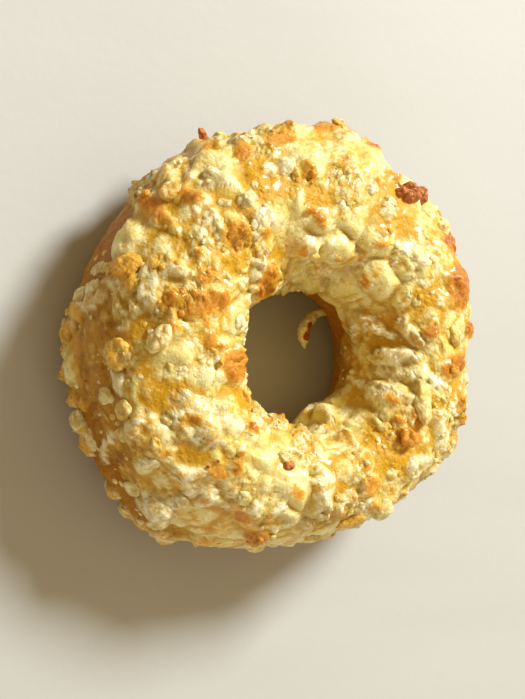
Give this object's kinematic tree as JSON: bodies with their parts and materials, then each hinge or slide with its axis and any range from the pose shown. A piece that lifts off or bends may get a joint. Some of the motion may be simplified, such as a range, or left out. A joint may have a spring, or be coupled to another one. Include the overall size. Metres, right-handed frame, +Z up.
{
  "type": "bagel",
  "caption": "Round ring-shaped bagel baked under a crust of melted cheese, with lumpy browned curds all over its top and sides and a flat underside.",
  "frame": {"origin": "middle of the bounding box at the flat underside that the bagel rests on", "axes": "+Z up through the hole, with the cheese on top; +Y towards the far side of the pictured view and +X towards its right"},
  "size_m": [0.1127, 0.1122, 0.041],
  "materials": {
    "cheese": "baked cheese, cream to golden with toasted orange-brown spots",
    "crust": "baked golden-brown bread crust"
  },
  "bodies": {
    "root": {"bagel": "cheese"}
  },
  "joints": []
}
